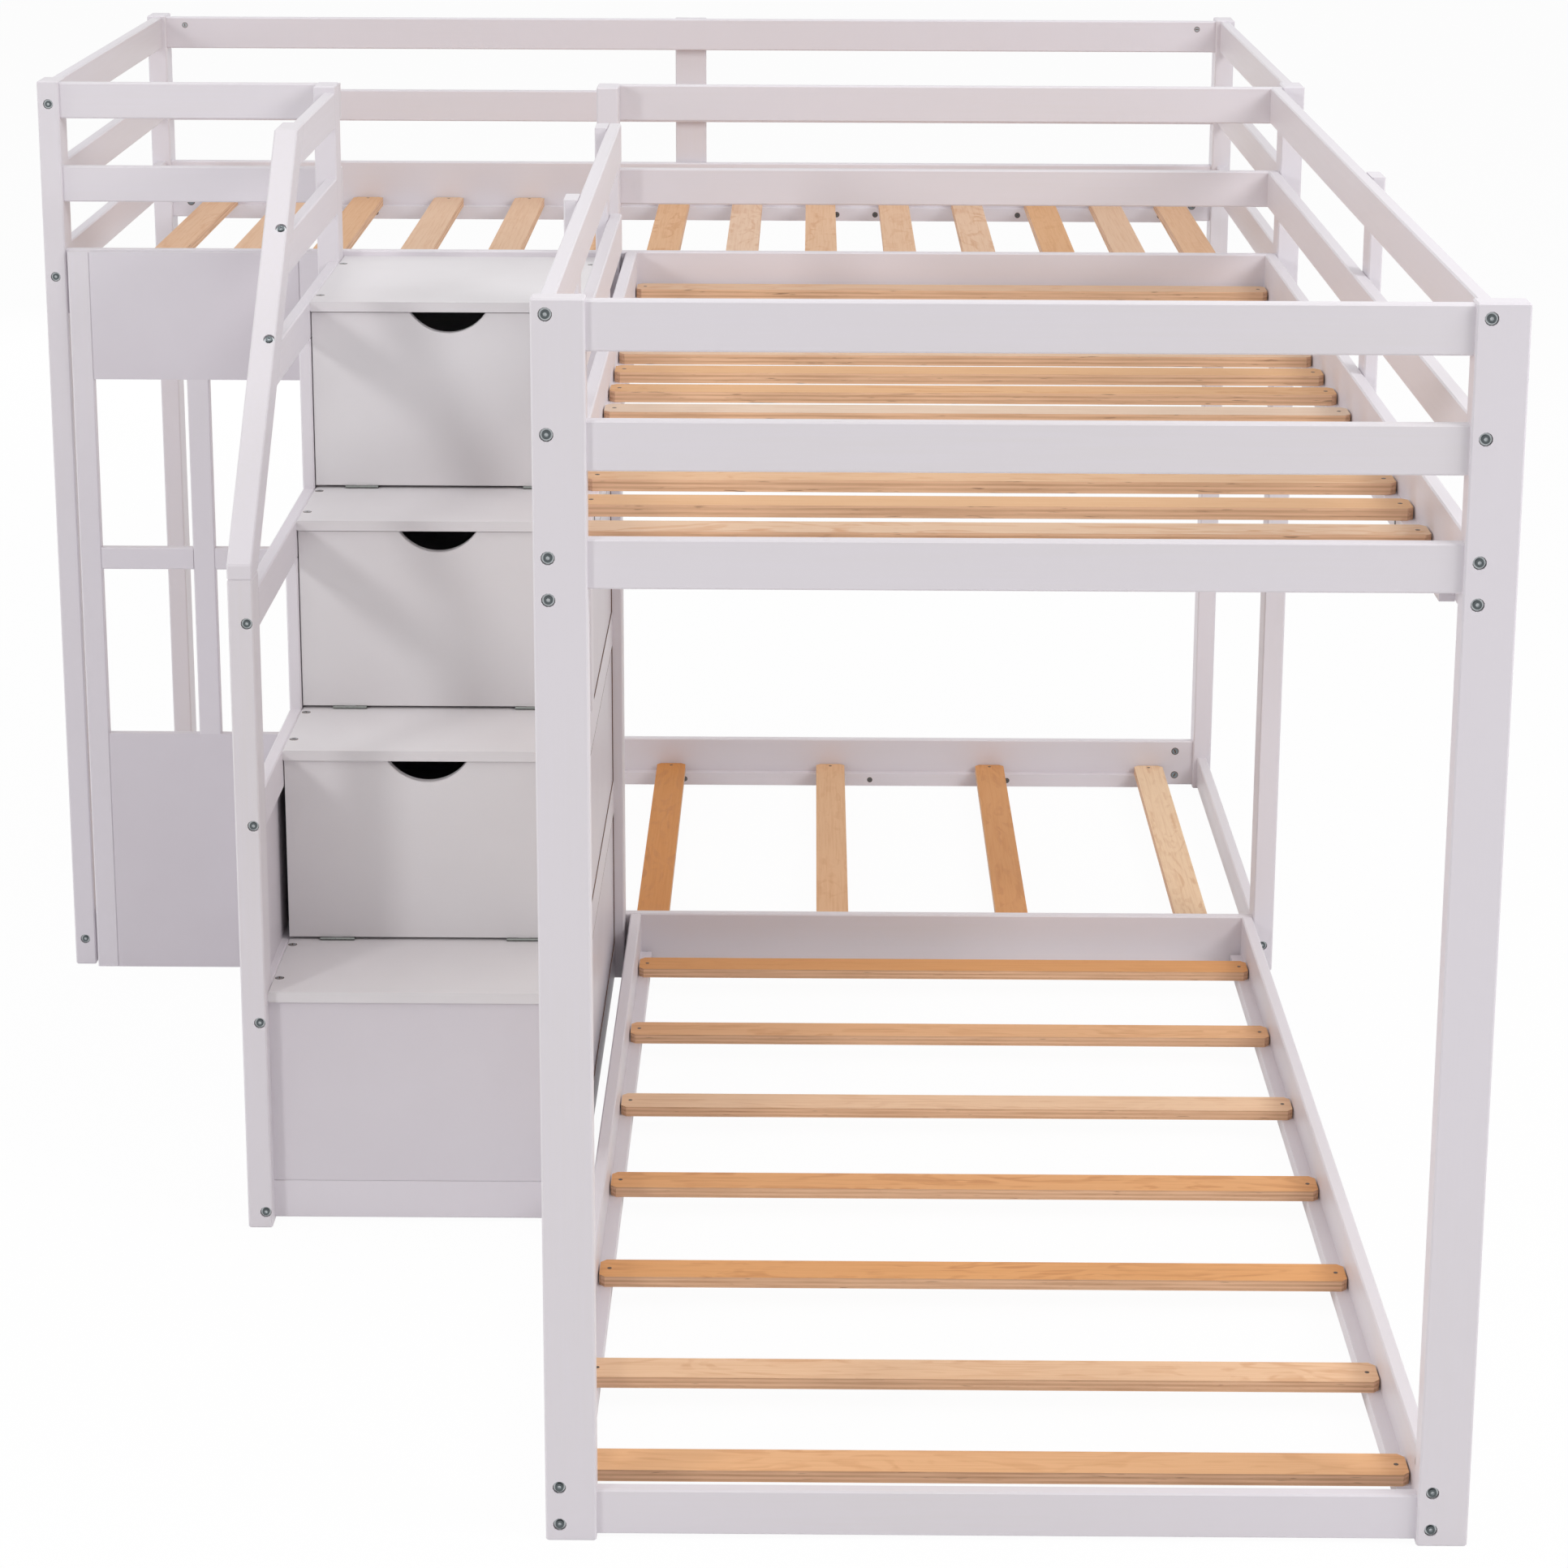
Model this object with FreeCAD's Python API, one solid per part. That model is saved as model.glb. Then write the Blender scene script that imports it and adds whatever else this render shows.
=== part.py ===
import FreeCAD, Part
import math
import os

Vec = FreeCAD.Vector

# An L-shaped bunk bed in painted wood, in millimetres: a back bed along X, a wing bed along -Y at its
# right, and a storage staircase in the inner corner. The origin is on the floor, at the middle of the
# overall box. +X is right, +Y is the rear and +Z is up.

# Overall frame
BED_LENGTH = 2020.0          # back bed along X, over its posts
BED_WIDTH = 1090.0           # either bed across its posts
WING_LENGTH = 1970.0         # wing along Y, from the back bed's front to its own front
POST_HEIGHT = 1490.0
POST_WIDE = 60.0
POST_THICK = 34.0
EASE = 2.0                   # chamfer on the edges of the boards

# Rails
RAIL_THICK = 18.0
RAIL_HIGH = 57.0             # guard, end and stair rails
RAIL_SETBACK = 7.5           # from a post's edge to the side rail's face
GUARD_DROP = 3.0             # from the post top to the top rail
GUARD_PITCH = 134.0          # top rail to middle rail, and middle rail to deck rail
BACK_DECK_RAIL_HIGH = 105.0
WING_DECK_RAIL_HIGH = 88.0
FLOOR_RAIL_HIGH = 88.0
FLOOR_GAP = 5.0              # below the lowest rails

# Slats and the cleats that carry them
CLEAT_THICK = 18.0
CLEAT_HIGH = 24.0
CLEAT_END_GAP = 60.0         # from a post to a cleat's end
CLEAT_JUNCTION_GAP = 10.0    # from the back bed to a wing cleat's end
CLEAT_FIRST_LENGTH = 1226.0  # first of the two lengths along the back bed
SLAT_WIDE = 55.0
SLAT_THICK = 15.0
SLAT_CLIP = 8.0              # clipped corners
SLAT_PLAY = 2.0              # between a slat's end and the rail
DECK_SLAT_PITCH = 136.0
BACK_DECK_SLAT_START = 80.0  # from a post to the centre of the nearest slat
BACK_DECK_SLAT_END = 97.0
BACK_DECK_SLAT_SHIFT = 30.0  # middle slats, right of an even spread
WING_DECK_SLAT_START = 42.0
WING_DECK_SLAT_END = 107.0
BACK_FLOOR_SLAT_PITCH = 310.0
BACK_FLOOR_SLAT_START = 87.0
WING_FLOOR_SLAT_PITCH = 300.0
WING_FLOOR_SLAT_START = 108.0
FLOOR_SLAT_END = 87.0
LEAST_PITCH_SHARE = 0.4      # narrowest last space between floor slats, as a share of the pitch

# Guard stiles and the entry from the stairs
ENTRY_WIDE = 465.0           # open length at the head of the wing's left guard

# Staircase
STAIR_SHARE = 0.5183         # its share of the back bed's length beside the wing
TREADS = ("top_tread", "upper_tread", "lower_tread", "bottom_tread")
FLAPS = ("upper_flap", "middle_flap", "lower_flap")
TREAD_THICK = 15.0
TREAD_BELOW_DECK = 9.0       # deck rail top to top tread
BOTTOM_STEP = 346.0          # floor to bottom tread
TOP_TREAD_DEEP = 417.0       # from the back bed's front to the top tread's nose
GOING = 213.0
NOSING = 6.0                 # tread nose in front of the flap below it
PANEL_THICK = 15.0
INFILL_THICK = 6.0
INFILL_SETBACK = 1.5         # behind the outer face of the stair rails
BACK_PANEL_THICK = 5.0
NEWEL_AHEAD = 21.0           # newel front ahead of the bottom tread's nose
NEWEL_RISE = 23.0            # newel top above the upper tread
STILE_TOE = 21.0             # upright part at the foot of the slanted stile
STILE_LEAN = 582.0           # how far the slanted stile leans back
STILE_TOP_DEEP = 81.0        # its level top, front to back
HANDRAIL_DROP = 10.0         # from the post top to the top handrail
HANDRAIL_PITCH = 136.0

# Drop-flaps and their hinges
FLAP_THICK = 15.0
FLAP_PLAY = 1.5              # at each side
FLAP_TOP_GAP = 2.0
FLAP_STOP_GAP = 0.5          # from the closed flap to the carcass sides
MOON_WIDE = 114.0            # half-moon hand cut-out
MOON_DEEP = 31.0
MOON_EASE = 1.2
HINGE_LONG = 50.0
HINGE_INSET = 45.0           # from the flap's edge to the hinge
BARREL_R = 2.2
PIN_R = 1.0
PIN_PLAY = 0.05
LEAF_THICK = 1.2
LEAF_DEEP = 12.0             # from the pin to the leaf's far edge
KNUCKLE_GAP = 0.3
HINGE_SIDES = 16             # flats round a knuckle and a pin, few because hinges repeat

# Window screen
SCREEN_GAP = 5.0             # from the post to the screen
SCREEN_STAIR_GAP = 2.0
SCREEN_STILE_WIDE = 35.0
SCREEN_BAR = 36.0            # mullion and cross bars
SCREEN_TOP_DROP = 2.0        # deck rail top to screen top
UPPER_PANEL_HIGH = 208.0
LOWER_PANEL_HIGH = 410.0

# Frame bolts
BOLT_HEAD_R = 7.0
BOLT_HEAD_HIGH = 4.0
BOLT_SINK = 5.5              # depth of the sunk seat
BOLT_SEAT_R = 8.0
BOLT_R = 3.0
BOLT_SIDES = 12              # flats round a bolt and its holes, few because bolts repeat
BOLT_CLEARANCE = 0.3
BOLT_BITE = 30.0             # into the end of the rail
BOLT_TIP_GAP = 2.0
GUARD_BOLT_RISE = 14.0       # side guard bolts above the rail's middle
END_BOLT_DROP = 5.0          # end guard bolts below the rail's middle
SIDE_BOLT_SPREAD = 48.0      # between the two bolts of a deck or floor rail
FLOOR_BOLT_HEIGHT = 45.0
STEP_BOLT_DROP = 38.0        # stair rail bolts below the tread

# Places along X, Y and Z that several pieces share
x_left = -BED_LENGTH / 2
x_right = BED_LENGTH / 2
x_wing = x_right - BED_WIDTH
y_front = -(BED_WIDTH + WING_LENGTH) / 2
y_join = y_front + WING_LENGTH
y_rear = y_join + BED_WIDTH

y_front_rail = y_join + RAIL_SETBACK
y_rear_rail = y_rear - POST_WIDE + RAIL_SETBACK
x_wing_rails = (x_wing + RAIL_SETBACK, x_right - POST_WIDE + RAIL_SETBACK)
end_rail_inset = (POST_THICK - RAIL_THICK) / 2

top_rail = POST_HEIGHT - GUARD_DROP
middle_rail = top_rail - GUARD_PITCH
deck_rail = middle_rail - GUARD_PITCH
back_deck_bottom = deck_rail - BACK_DECK_RAIL_HIGH
wing_deck_bottom = deck_rail - WING_DECK_RAIL_HIGH
deck_bolt_height = (deck_rail + wing_deck_bottom) / 2

x_stair = x_wing - STAIR_SHARE * (BED_LENGTH - BED_WIDTH)
x_inner = (x_stair + POST_THICK, x_wing - POST_THICK)
x_left_rails = (x_inner[0] - RAIL_THICK, x_inner[0])
x_right_rails = (x_inner[1], x_inner[1] + RAIL_THICK)
y_head = y_front_rail - POST_WIDE
y_back_panel = y_front_rail - BACK_PANEL_THICK
top_step = deck_rail - TREAD_BELOW_DECK
rise = (top_step - BOTTOM_STEP) / (len(TREADS) - 1)
tread_top = [top_step - rise * i for i in range(len(TREADS))]
tread_nose = [y_join - TOP_TREAD_DEEP - GOING * i for i in range(len(TREADS))]
flap_face = [nose + NOSING for nose in tread_nose]
y_newel = tread_nose[-1] - NEWEL_AHEAD
y_newel_back = y_newel + POST_WIDE
newel_top = tread_top[1] + NEWEL_RISE
handrail_top = POST_HEIGHT - HANDRAIL_DROP

nodes = {}


def add(name, *shapes):
    nodes.setdefault(name, []).extend(shapes)


def span(start, length):
    return (start, start + length)


def box(x, y, z):
    return Part.makeBox(x[1] - x[0], y[1] - y[0], z[1] - z[0], Vec(x[0], y[0], z[0]))


def prism(points, travel):
    return Part.Face(Part.makePolygon(points + points[:1])).extrude(travel)


def clipped(a, b, cut):
    """Corners of a rectangle with its corners cut off, in order."""
    return [(a[0] + cut, b[0]), (a[1] - cut, b[0]), (a[1], b[0] + cut), (a[1], b[1] - cut),
            (a[1] - cut, b[1]), (a[0] + cut, b[1]), (a[0], b[1] - cut), (a[0], b[0] + cut)]


def rod(start, way, length, radius, sides):
    """A straight rod with flats, as fine as its use needs."""
    across = Vec(1, 0, 0)
    if abs(way.x) > 0.5:
        across = Vec(0, 1, 0)
    turn = 2 * math.pi / sides
    spokes = [across * math.cos(turn * (i + 0.5)) + way.cross(across) * math.sin(turn * (i + 0.5))
              for i in range(sides)]
    return prism([start + spoke * radius for spoke in spokes], way * length)


def board(x, y, z):
    """A sawn board with eased long edges."""
    sizes = [x[1] - x[0], y[1] - y[0], z[1] - z[0]]
    along = sizes.index(max(sizes))
    if along == 0:
        return prism([Vec(x[0], b, c) for b, c in clipped(y, z, EASE)], Vec(sizes[0], 0, 0))
    if along == 1:
        return prism([Vec(a, y[0], c) for a, c in clipped(x, z, EASE)], Vec(0, sizes[1], 0))
    return prism([Vec(a, b, z[0]) for a, b in clipped(x, y, EASE)], Vec(0, 0, sizes[2]))


def post(x, y, height):
    """An upright board with its ends eased too."""
    upright = board(x, y, (0, height))
    ends = [edge for edge in upright.Edges if edge.BoundBox.ZLength < EASE]
    return upright.makeChamfer(EASE, ends)


def slat(x, y, bottom):
    """A flat slat with clipped corners."""
    return prism([Vec(a, b, bottom) for a, b in clipped(x, y, SLAT_CLIP)], Vec(0, 0, SLAT_THICK))


def below(top, high=RAIL_HIGH):
    return (top - high, top)


def even_places(first, last, pitch):
    """Places from first to last, as near the pitch as fits."""
    steps = round((last - first) / pitch)
    return [first + (last - first) * i / steps for i in range(steps + 1)]


def end_places(first, last, pitch):
    """Places at the pitch from first, and one more at last."""
    count = 1 + int((last - first) / pitch - LEAST_PITCH_SHARE)
    return [first + pitch * i for i in range(count)] + [last]


def back_bed():
    front = span(y_join, POST_WIDE)
    rear = (y_rear - POST_WIDE, y_rear)
    left = span(x_left, POST_THICK)
    right = (x_right - POST_THICK, x_right)
    for name, x, y in (("back_front_left_post", left, front), ("back_front_right_post", right, front),
                       ("back_rear_left_post", left, rear), ("back_rear_right_post", right, rear)):
        add(name, post(x, y, POST_HEIGHT))

    levels = (below(top_rail), below(middle_rail), below(deck_rail), span(FLOOR_GAP, RAIL_HIGH))
    for name, x in (("back_left_end_rails", left), ("back_right_end_rails", right)):
        middle = span(x[0] + end_rail_inset, RAIL_THICK)
        add(name, *[board(middle, (front[1], rear[0]), z) for z in levels])

    between = (left[1], right[0])
    rear_rail = span(y_rear_rail, RAIL_THICK)
    front_rail = span(y_front_rail, RAIL_THICK)
    deck = (back_deck_bottom, deck_rail)
    floor = span(FLOOR_GAP, FLOOR_RAIL_HIGH)
    add("back_rear_guard_rails", *[board(between, rear_rail, z) for z in levels[:2]])
    add("back_rear_deck_rail", board(between, rear_rail, deck))
    add("back_rear_floor_rail", board(between, rear_rail, floor))
    add("back_front_deck_rail", board(between, front_rail, deck))
    add("back_front_floor_rail", board(between, front_rail, floor))
    add("entry_guard_rails", *[board((left[1], x_inner[0]), front_rail, z) for z in levels[:2]])
    add("junction_guard_rails", *[board((x_inner[1], right[0]), front_rail, z) for z in levels[:2]])

    stile = (-RAIL_HIGH / 2, RAIL_HIGH / 2)
    add("back_rear_stile", board(stile, span(rear_rail[1], RAIL_THICK), (back_deck_bottom, top_rail)))

    x_cleat = (between[0] + CLEAT_END_GAP, between[1] - CLEAT_END_GAP)
    x_split = x_cleat[0] + CLEAT_FIRST_LENGTH
    for bottom in (back_deck_bottom, FLOOR_GAP):
        for y in (span(front_rail[1], CLEAT_THICK), (rear_rail[0] - CLEAT_THICK, rear_rail[0])):
            add("back_cleats", box((x_cleat[0], x_split), y, span(bottom, CLEAT_HIGH)),
                box((x_split, x_cleat[1]), y, span(bottom, CLEAT_HIGH)))

    y_slat = (front_rail[1] + SLAT_PLAY, rear_rail[0] - SLAT_PLAY)
    inside = between[1] - between[0]
    row = even_places(BACK_DECK_SLAT_START, inside - BACK_DECK_SLAT_END, DECK_SLAT_PITCH)
    for i, away in enumerate(row):
        # The last three slats keep their places, and the shift comes in over two spaces at either end.
        share = min(1, i / 2, max(0, len(row) - 3 - i) / 2)
        x = span(between[1] - away + BACK_DECK_SLAT_SHIFT * share - SLAT_WIDE / 2, SLAT_WIDE)
        add("back_deck_slats", slat(x, y_slat, back_deck_bottom + CLEAT_HIGH))
    for away in end_places(BACK_FLOOR_SLAT_START, inside - FLOOR_SLAT_END, BACK_FLOOR_SLAT_PITCH):
        x = span(between[1] - away - SLAT_WIDE / 2, SLAT_WIDE)
        add("back_floor_slats", slat(x, y_slat, FLOOR_GAP + CLEAT_HIGH))


def wing():
    left = span(x_wing, POST_WIDE)
    right = (x_right - POST_WIDE, x_right)
    depth = span(y_front, POST_THICK)
    add("wing_left_post", post(left, depth, POST_HEIGHT))
    add("wing_right_post", post(right, depth, POST_HEIGHT))

    levels = (below(top_rail), below(middle_rail), below(deck_rail), span(FLOOR_GAP, RAIL_HIGH))
    between = (left[1], right[0])
    add("wing_end_rails", *[board(between, span(y_front + end_rail_inset, RAIL_THICK), z) for z in levels])

    x_rail = [span(x, RAIL_THICK) for x in x_wing_rails]
    long_run = (depth[1], y_front_rail)
    short_run = (depth[1], y_join - ENTRY_WIDE)
    add("wing_left_guard_rails", *[board(x_rail[0], short_run, z) for z in levels[:2]])
    add("wing_right_guard_rails", *[board(x_rail[1], long_run, z) for z in levels[:2]])
    add("wing_deck_side_rails", *[board(x, long_run, (wing_deck_bottom, deck_rail)) for x in x_rail])
    add("wing_floor_side_rails", *[board(x, long_run, span(FLOOR_GAP, FLOOR_RAIL_HIGH)) for x in x_rail])

    x_left_stile = (x_rail[0][0] - RAIL_THICK, x_rail[0][0])
    x_right_stile = span(x_rail[1][1], RAIL_THICK)
    for x, y in ((x_left_stile, short_run[1] - RAIL_HIGH / 2), (x_left_stile, sum(short_run) / 2),
                 (x_right_stile, sum(long_run) / 2)):
        add("wing_guard_stiles", board(x, span(y - RAIL_HIGH / 2, RAIL_HIGH), (wing_deck_bottom, top_rail)))

    y_cleat = (long_run[0] + CLEAT_END_GAP, long_run[1] - CLEAT_JUNCTION_GAP)
    for bottom in (wing_deck_bottom, FLOOR_GAP):
        for x in (span(x_rail[0][1], CLEAT_THICK), (x_rail[1][0] - CLEAT_THICK, x_rail[1][0])):
            add("wing_cleats", box(x, y_cleat, span(bottom, CLEAT_HIGH)))

    x_slat = (x_rail[0][1] + SLAT_PLAY, x_rail[1][0] - SLAT_PLAY)
    inside = long_run[1] - long_run[0]
    for away in even_places(WING_DECK_SLAT_START, inside - WING_DECK_SLAT_END, DECK_SLAT_PITCH):
        y = span(long_run[1] - away - SLAT_WIDE / 2, SLAT_WIDE)
        add("wing_deck_slats", slat(x_slat, y, wing_deck_bottom + CLEAT_HIGH))
    for away in end_places(WING_FLOOR_SLAT_START, inside - FLOOR_SLAT_END, WING_FLOOR_SLAT_PITCH):
        y = span(long_run[1] - away - SLAT_WIDE / 2, SLAT_WIDE)
        add("wing_floor_slats", slat(x_slat, y, FLOOR_GAP + CLEAT_HIGH))


def window_screen():
    x = (x_left + POST_THICK + SCREEN_GAP, x_stair - SCREEN_STAIR_GAP)
    y = (y_front_rail - RAIL_THICK, y_front_rail)
    y_panel = span(y[0], PANEL_THICK)
    top = deck_rail - SCREEN_TOP_DROP
    light = (x[0] + SCREEN_STILE_WIDE, x[1] - SCREEN_STILE_WIDE)
    opening = (LOWER_PANEL_HIGH, top - UPPER_PANEL_HIGH)
    for stile in ((x[0], light[0]), (light[1], x[1])):
        add("window_stiles", board(stile, y, (0, top)))
    add("window_panels", box(light, y_panel, (0, opening[0])), box(light, y_panel, (opening[1], top)))
    mullion = span(sum(light) / 2 - SCREEN_BAR / 2, SCREEN_BAR)
    bar = span(sum(opening) / 2 - SCREEN_BAR / 2, SCREEN_BAR)
    add("window_bars", board(mullion, y, opening), board((light[0], mullion[0]), y, bar),
        board((mullion[1], light[1]), y, bar))


# Slanted handrail stile, seen from the side as (y, z) points
stile_foot_back = (y_newel_back, newel_top)
stile_top_front = (y_newel + STILE_LEAN, handrail_top)
stile_top_back = (stile_top_front[0] + STILE_TOP_DEEP, handrail_top)
stile_toe_top = (y_newel, newel_top + STILE_TOE)


def stile_back(z):
    """Where the slanted stile's rear edge is at a height."""
    share = (z - stile_foot_back[1]) / (stile_top_back[1] - stile_foot_back[1])
    return stile_foot_back[0] + share * (stile_top_back[0] - stile_foot_back[0])


def slant_rail(x, z):
    """A stair rail from the stair head to the slanted stile, cut to its slope."""
    outline = [(stile_back(z[0]), z[0]), (y_head, z[0]), (y_head, z[1]), (stile_back(z[1]), z[1])]
    rail = prism([Vec(x[0], y, h) for y, h in outline], Vec(x[1] - x[0], 0, 0))
    return rail.makeChamfer(EASE, [edge for edge in rail.Edges if edge.BoundBox.YLength == edge.Length])


def stair_frames():
    x_post = (span(x_stair, POST_THICK), (x_wing - POST_THICK, x_wing))
    y_post = (y_head, y_front_rail)
    add("stair_left_post", post(x_post[0], y_post, POST_HEIGHT))
    add("stair_right_post", post(x_post[1], y_post, POST_HEIGHT))
    add("stair_newel", post(x_post[0], (y_newel, y_newel_back), newel_top))
    outline = [(y_newel, newel_top), stile_toe_top, stile_top_front, stile_top_back, stile_foot_back]
    stile = prism([Vec(x_stair, y, z) for y, z in outline], Vec(POST_THICK, 0, 0))
    add("stair_slanted_stile", stile.makeChamfer(EASE, stile.Edges))
    add("stair_handrails", slant_rail(x_left_rails, below(handrail_top)),
        slant_rail(x_left_rails, below(handrail_top - HANDRAIL_PITCH)))

    rail_levels = [below(z) for z in tread_top] + [span(FLOOR_GAP, RAIL_HIGH)]
    add("stair_left_rails", slant_rail(x_left_rails, rail_levels[0]))
    add("stair_left_rails", *[board(x_left_rails, (y_newel_back, y_head), z) for z in rail_levels[1:]])

    # Each bay lies between two rails, from the stair head forward to its stile.
    infill_left = span(x_left_rails[0] + INFILL_SETBACK, INFILL_THICK)
    infill_right = span(x_right_rails[1] - INFILL_SETBACK - INFILL_THICK, INFILL_THICK)
    fronts = tread_nose[:-1] + [flap_face[-1]]
    for i, nose in enumerate(fronts):
        bay = (rail_levels[i + 1][1], rail_levels[i][0])
        stile = span(nose, RAIL_HIGH)
        add("stair_right_stiles", board(x_right_rails, stile, bay))
        add("stair_right_panels", box(infill_right, (stile[1], y_head), bay))
        if i < 2:
            add("stair_left_stiles", board(x_left_rails, stile, bay))
            add("stair_left_panels", box(infill_left, (stile[1], y_head), bay))
        else:
            add("stair_left_panels", box(infill_left, (y_newel_back, y_head), bay))
    for nose, z in zip(tread_nose + fronts[-1:], rail_levels):
        add("stair_right_rails", board(x_right_rails, (nose, y_head), z))


def stair_carcass():
    for i, name in enumerate(TREADS):
        back = y_front_rail if i == 0 else y_back_panel
        z = below(tread_top[i], TREAD_THICK)
        add(name, board(x_inner, (tread_nose[i], back), z))

    riser_face = flap_face[-1]
    kick_top = FLOOR_GAP + RAIL_HIGH
    bottom_board = tread_top[-1] - TREAD_THICK
    add("riser_panel", box(x_inner, span(riser_face, PANEL_THICK), (kick_top, bottom_board)))
    add("kick_rail", board(x_inner, span(riser_face, RAIL_THICK), (FLOOR_GAP, kick_top)))

    fronts = [face + FLAP_THICK + FLAP_STOP_GAP for face in flap_face[:-1]] + [riser_face + RAIL_THICK]
    floors = tread_top[1:] + [FLOOR_GAP]
    for front, low, high in zip(fronts, floors, tread_top):
        z = (low, high - TREAD_THICK)
        add("stair_carcass_sides", box(span(x_inner[0], PANEL_THICK), (front, y_back_panel), z),
            box((x_inner[1] - PANEL_THICK, x_inner[1]), (front, y_back_panel), z))
    back_high = (FLOOR_GAP, tread_top[0] - TREAD_THICK)
    add("stair_back_panel", box(x_inner, (y_back_panel, y_front_rail), back_high))


def hinge(x, y, z):
    """Moving leaf, fixed leaf and pin of a butt hinge, with its pin along X through (y, z)."""
    third = HINGE_LONG / 3
    turns = [span(x + third * i + KNUCKLE_GAP / 2, third - KNUCKLE_GAP) for i in range(3)]
    clear = y + BARREL_R + KNUCKLE_GAP
    far = y + LEAF_DEEP
    along = Vec(1, 0, 0)

    def round_bar(run, radius):
        return rod(Vec(run[0], y, z), along, run[1] - run[0], radius, HINGE_SIDES)

    whole = span(x, HINGE_LONG)
    # The flats of a bore lie inside its radius, so the bore is drawn larger by their depth.
    bore = round_bar(whole, (PIN_R + PIN_PLAY) / math.cos(math.pi / HINGE_SIDES))

    def leaf(level, knuckles):
        plate = box(whole, (clear, far), level)
        for k in knuckles:
            plate = plate.fuse([round_bar(k, BARREL_R), box(k, (y, clear), level)])
        return plate.cut(bore).removeSplitter()

    moving = leaf((z + BARREL_R - LEAF_THICK, z + BARREL_R), turns[1:2])
    fixed = leaf((z - BARREL_R, z - BARREL_R + LEAF_THICK), turns[0::2])
    return moving, fixed, round_bar(whole, PIN_R)


def flaps():
    x = (x_inner[0] + FLAP_PLAY, x_inner[1] - FLAP_PLAY)
    moon_r = (MOON_WIDE ** 2 / 4 + MOON_DEEP ** 2) / (2 * MOON_DEEP)
    for i, name in enumerate(FLAPS):
        z = (tread_top[i + 1] + 2 * BARREL_R, tread_top[i] - TREAD_THICK - FLAP_TOP_GAP)
        centre = Vec(sum(x) / 2, flap_face[i], z[1] + moon_r - MOON_DEEP)
        moon = Part.makeCylinder(moon_r, FLAP_THICK, centre, Vec(0, 1, 0))
        flap = box(x, span(flap_face[i], FLAP_THICK), z).cut(moon)
        rim = [edge for edge in flap.Edges if edge.Curve.TypeId == "Part::GeomCircle"]
        add(name, flap.makeChamfer(MOON_EASE, rim))
        for start in (x[0] + HINGE_INSET, x[1] - HINGE_INSET - HINGE_LONG):
            moving, fixed, pin = hinge(start, flap_face[i] - BARREL_R, tread_top[i + 1] + BARREL_R)
            add(name + "_leaves", moving)
            add("fixed_hinge_leaves", fixed)
            add("hinge_pins", pin)


def bolt(outer, inner, seat, way, grip):
    """Sinks a bolt through one piece, from its seat, into the end of another. A piece is (node, number)."""

    def turned(radius, start, length):
        return rod(seat + way * start, way, length, radius, BOLT_SIDES)

    name, number = outer
    room = BOLT_R + BOLT_CLEARANCE
    nodes[name][number] = nodes[name][number].cut([turned(BOLT_SEAT_R, 0, BOLT_SINK), turned(room, 0, grip)])
    name, number = inner
    nodes[name][number] = nodes[name][number].cut(turned(room, grip, BOLT_BITE))
    head = turned(BOLT_HEAD_R, BOLT_SINK - BOLT_HEAD_HIGH, BOLT_HEAD_HIGH)
    shank = turned(BOLT_R, BOLT_SINK, grip + BOLT_BITE - BOLT_TIP_GAP - BOLT_SINK)
    add("frame_bolts", head.fuse(shank).removeSplitter())


def pair(middle):
    return (middle + SIDE_BOLT_SPREAD / 2, middle - SIDE_BOLT_SPREAD / 2)


def bolts():
    rail_middle = RAIL_THICK / 2

    # Wing posts into the wing's side rails
    for side, name in enumerate(("left", "right")):
        holders = [("wing_" + name + "_guard_rails", 0, top_rail - RAIL_HIGH / 2 + GUARD_BOLT_RISE),
                   ("wing_" + name + "_guard_rails", 1, middle_rail - RAIL_HIGH / 2 + GUARD_BOLT_RISE)]
        holders += [("wing_deck_side_rails", side, z) for z in pair(deck_bolt_height)]
        holders += [("wing_floor_side_rails", side, z) for z in pair(FLOOR_BOLT_HEIGHT)]
        for node, number, z in holders:
            seat = Vec(x_wing_rails[side] + rail_middle, y_front, z)
            bolt(("wing_" + name + "_post", 0), (node, number), seat, Vec(0, 1, 0), POST_THICK)

    # Back bed's front posts into its end rails
    end_levels = ((0, top_rail - RAIL_HIGH / 2 - END_BOLT_DROP), (2, deck_bolt_height),
                  (3, FLOOR_BOLT_HEIGHT))
    for name, x in (("left", x_left + POST_THICK / 2), ("right", x_right - POST_THICK / 2)):
        for number, z in end_levels:
            bolt(("back_front_" + name + "_post", 0), ("back_" + name + "_end_rails", number),
                 Vec(x, y_join, z), Vec(0, 1, 0), POST_WIDE)

    # Newel and slanted stile into the stair rails
    x = x_left_rails[0] + rail_middle
    for number, top in enumerate(tread_top[1:] + [FLOOR_GAP + RAIL_HIGH], start=1):
        seat = Vec(x, y_newel, top - STEP_BOLT_DROP)
        bolt(("stair_newel", 0), ("stair_left_rails", number), seat, Vec(0, 1, 0), POST_WIDE)
    slope = Vec(0, stile_top_front[0] - stile_toe_top[0], stile_top_front[1] - stile_toe_top[1])
    slope.normalize()
    inward = Vec(0, slope.z, -slope.y)
    for node, number, top in (("stair_handrails", 1, handrail_top - HANDRAIL_PITCH),
                              ("stair_left_rails", 0, tread_top[0])):
        level = top - RAIL_HIGH / 2
        meet = Vec(x, stile_back(level), level)
        thick = (meet - Vec(x, *stile_top_front)).dot(inward)
        bolt(("stair_slanted_stile", 0), (node, number), meet - inward * thick, inward, thick)


back_bed()
wing()
window_screen()
stair_frames()
stair_carcass()
flaps()
bolts()

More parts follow.
